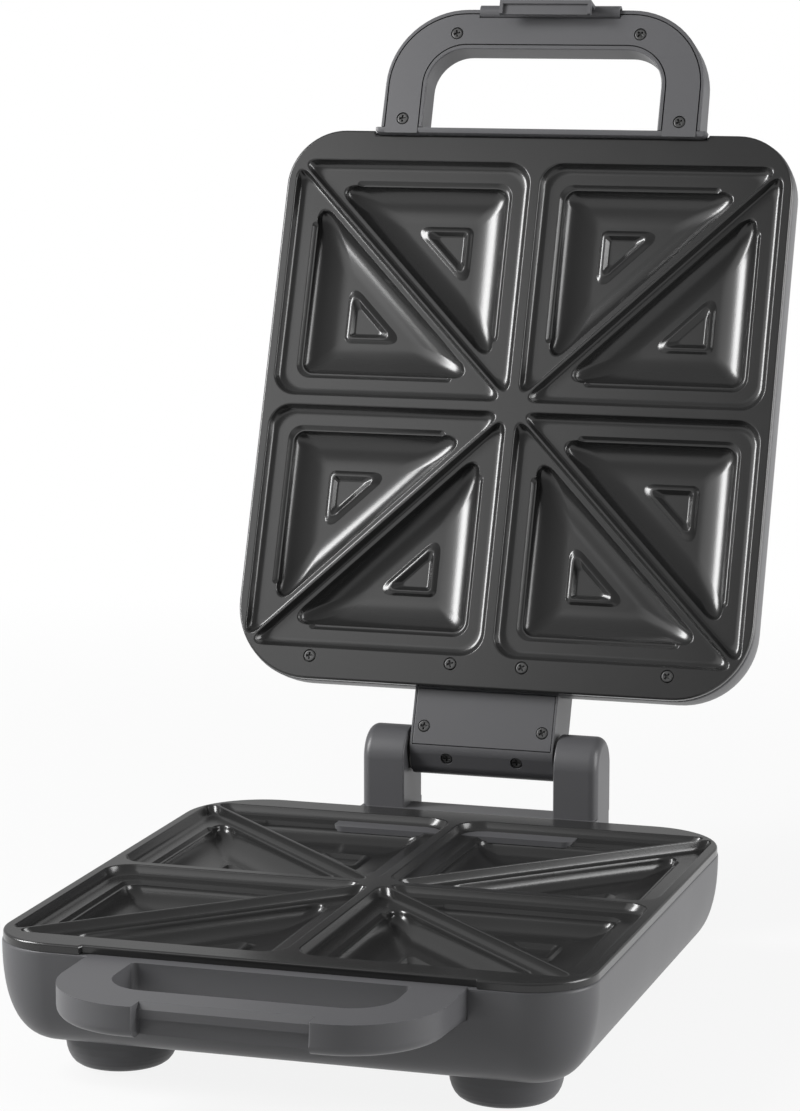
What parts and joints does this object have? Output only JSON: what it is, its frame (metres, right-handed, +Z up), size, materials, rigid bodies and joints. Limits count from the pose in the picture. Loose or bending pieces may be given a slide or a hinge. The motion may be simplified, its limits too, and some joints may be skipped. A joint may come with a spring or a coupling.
{
  "type": "sandwich toaster",
  "caption": "Countertop sandwich toaster standing open, with recessed square cooking plates split into triangles, bow handles, a latch clip and a rear hinge arm.",
  "frame": {"origin": "on the ground under the centre of the bounding box of the toaster standing open", "axes": "+X to the user's right, +Y away from the user towards the hinge, +Z up"},
  "size_m": [0.2886, 0.5632, 0.4964],
  "materials": {
    "housing_plastic": "satin, fine grain",
    "handle_plastic": "satin",
    "nonstick_aluminium": "cast, with a dark non-stick coating",
    "screw_steel": "blackened",
    "tinned_sheet": "bright rolled sheet",
    "element_tube": "matt, heat-toned tube",
    "ceramic_part": "pale heat-proof moulding",
    "lead_sleeve": "woven glass sleeve",
    "soft_rubber": "matt",
    "pin_steel": "ground",
    "bush_plastic": "natural, smooth",
    "red_lens": "clear tinted",
    "green_lens": "clear tinted",
    "lamp_glass": "clear"
  },
  "bodies": {
    "base": {"base_housing": "housing_plastic", "base_plate": "nonstick_aluminium", "base_heating_element": "element_tube", "base_element_clamps": "tinned_sheet", "base_reflector": "tinned_sheet", "base_thermostat": "ceramic_part", "base_thermal_fuse": "ceramic_part", "base_plate_screws": "screw_steel", "terminal_block": "ceramic_part", "internal_lead": "lead_sleeve", "cord_bush": "soft_rubber", "base_handle": "handle_plastic", "base_handle_screws": "screw_steel", "hinge_post_left": "housing_plastic", "hinge_post_right": "housing_plastic", "post_screws": "screw_steel", "hinge_shaft": "pin_steel", "front_foot_left": "housing_plastic", "front_foot_right": "housing_plastic", "rear_foot_left": "housing_plastic", "rear_foot_right": "housing_plastic", "foot_pads": "soft_rubber", "foot_screws": "screw_steel"},
    "lid": {"lid_housing": "housing_plastic", "lid_plate": "nonstick_aluminium", "lid_heating_element": "element_tube", "lid_element_clamps": "tinned_sheet", "lid_reflector": "tinned_sheet", "lid_thermostat": "ceramic_part", "lid_thermal_fuse": "ceramic_part", "lid_plate_screws": "screw_steel", "hinge_arm": "housing_plastic", "arm_cover": "housing_plastic", "arm_cover_screws": "screw_steel", "barrel_screws": "screw_steel", "bush_left": "bush_plastic", "bush_right": "bush_plastic", "power_lens": "red_lens", "ready_lens": "green_lens", "neon_lamps": "lamp_glass", "lid_handle_shell": "handle_plastic", "lid_handle_cover": "handle_plastic", "lid_handle_screws": "screw_steel", "latch_pin": "pin_steel"},
    "latch": {"latch_clip": "handle_plastic"}
  },
  "joints": [
    {"name": "lid_hinge", "type": "hinge", "parent": "base", "child": "lid", "pos_m": [0, 0.13897, 0.0912], "axis": [1, 0, 0], "range_deg": [0, 110.5]},
    {"name": "latch_pivot", "type": "hinge", "parent": "lid", "child": "latch", "pos_m": [0, 0.2636, 0.48937], "axis": [-1, 0, 0], "range_deg": [0, 75]}
  ]
}
